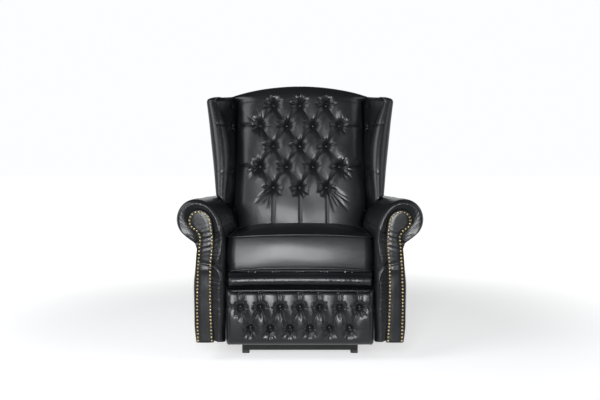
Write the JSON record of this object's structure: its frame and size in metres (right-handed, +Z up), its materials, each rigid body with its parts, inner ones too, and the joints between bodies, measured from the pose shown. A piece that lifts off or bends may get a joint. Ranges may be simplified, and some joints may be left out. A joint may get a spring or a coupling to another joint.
{
  "type": "wingback recliner",
  "caption": "Push-back recliner in black leather: scroll arms edged with nails, a deep-buttoned back with wings, a boxed seat cushion and a folding buttoned footrest.",
  "frame": {"origin": "on the floor under the middle of the chair", "axes": "+Z up, -Y forwards, the way the sitter faces; +X across"},
  "size_m": [0.918, 0.9079, 1.1109],
  "materials": {
    "leather": "semi-gloss near-black hide, fine grain",
    "brass_nails": "domed and slightly aged",
    "base_steel": "black, satin",
    "link_steel": "zinc grey, satin",
    "pin_steel": "plain steel",
    "spring_wire": "oiled spring steel",
    "glide_plastic": "black, matt",
    "timber": "plain sawn hardwood",
    "wing_plywood": "plain plywood",
    "deck_cloth": "black woven cloth",
    "webbing": "woven elastic strap",
    "foam": "open-cell foam"
  },
  "bodies": {
    "base": {"base_side_plate_left": "base_steel", "base_side_plate_right": "base_steel", "base_tubes": "base_steel", "glide_feet": "glide_plastic", "frame_bolts": "pin_steel", "base_pivot_pins": "pin_steel", "rear_apron": "timber", "arm_frames": "timber", "inside_arm_left": "leather", "inside_arm_right": "leather", "outside_arm_left": "leather", "outside_arm_right": "leather", "arm_roll_left": "leather", "arm_roll_right": "leather", "arm_facing_left": "leather", "arm_facing_right": "leather", "nailheads": "brass_nails"},
    "front_swing": {"front_swing_links": "link_steel"},
    "rear_swing": {"rear_swing_links": "link_steel"},
    "seat": {"seat_side_plate_left": "link_steel", "seat_side_plate_right": "link_steel", "seat_frame": "timber", "seat_springs": "spring_wire", "spring_clips": "pin_steel", "seat_deck": "deck_cloth", "seat_cushion": "leather", "seat_core": "foam", "seat_piping": "leather", "front_border": "leather", "seat_pivot_pins": "pin_steel"},
    "back": {"back_frame": "timber", "back_webbing": "webbing", "inside_back": "leather", "back_buttons": "leather", "wing_boards": "wing_plywood", "wing_pad_left": "leather", "wing_pad_right": "leather", "outside_wing_left": "leather", "outside_wing_right": "leather", "outside_back": "leather", "back_bracket_left": "link_steel", "back_bracket_right": "link_steel"},
    "rear_leg": {"rear_leg_link_left": "link_steel", "rear_leg_link_right": "link_steel", "rear_leg_pins": "pin_steel", "leg_cross_tube": "link_steel"},
    "front_leg": {"front_leg_link_left": "link_steel", "front_leg_link_right": "link_steel"},
    "upper_leg": {"upper_leg_link_left": "link_steel", "upper_leg_link_right": "link_steel", "upper_leg_pins": "pin_steel"},
    "lower_leg": {"lower_leg_link_left": "link_steel", "lower_leg_link_right": "link_steel"},
    "footrest": {"footrest_board": "timber", "footrest_pad": "leather", "footrest_piping": "leather", "footrest_buttons": "leather", "footrest_bracket_left": "link_steel", "footrest_bracket_right": "link_steel", "footrest_pins": "pin_steel"}
  },
  "joints": [
    {"name": "recline", "type": "hinge", "parent": "base", "child": "rear_swing", "pos_m": [0, 0.17, 0.075], "axis": [1, 0, 0], "range_deg": [0, 30]},
    {"name": "seat_level", "type": "hinge", "parent": "rear_swing", "child": "seat", "pos_m": [0, 0.19847, 0.18125], "axis": [1, 0, 0], "range_deg": [-30, 0]},
    {"name": "front_swing_turn", "type": "hinge", "parent": "base", "child": "front_swing", "pos_m": [0, -0.21, 0.075], "axis": [1, 0, 0], "range_deg": [0, 30]},
    {"name": "back_tilt", "type": "hinge", "parent": "seat", "child": "back", "pos_m": [0, 0.22, 0.29], "axis": [1, 0, 0], "range_deg": [-32, 0]},
    {"name": "footrest_open", "type": "hinge", "parent": "seat", "child": "rear_leg", "pos_m": [0, -0.2635, 0.245], "axis": [-1, 0, 0], "range_deg": [0, 94]},
    {"name": "front_leg_turn", "type": "hinge", "parent": "seat", "child": "front_leg", "pos_m": [0, -0.2475, 0.187], "axis": [-1, 0, 0], "range_deg": [0, 97.2]},
    {"name": "upper_leg_turn", "type": "hinge", "parent": "rear_leg", "child": "upper_leg", "pos_m": [0, -0.19, 0.123], "axis": [1, 0, 0], "range_deg": [0, 101.5]},
    {"name": "lower_leg_turn", "type": "hinge", "parent": "rear_leg", "child": "lower_leg", "pos_m": [0, -0.1855, 0.0675], "axis": [1, 0, 0], "range_deg": [0, 101.2]},
    {"name": "footrest_turn", "type": "hinge", "parent": "upper_leg", "child": "footrest", "pos_m": [0, -0.365, 0.245], "axis": [-1, 0, 0], "range_deg": [0, 93.5]}
  ],
  "couplings": [
    {"joint": "seat_level", "follows": "recline", "ratio": -1},
    {"joint": "front_swing_turn", "follows": "recline", "ratio": 1},
    {"joint": "back_tilt", "follows": "recline", "ratio": -1.0667},
    {"joint": "front_leg_turn", "follows": "footrest_open", "ratio": 1.0324},
    {"joint": "upper_leg_turn", "follows": "footrest_open", "ratio": 1.0787},
    {"joint": "lower_leg_turn", "follows": "footrest_open", "ratio": 1.0755},
    {"joint": "footrest_turn", "follows": "footrest_open", "ratio": 0.99362}
  ]
}
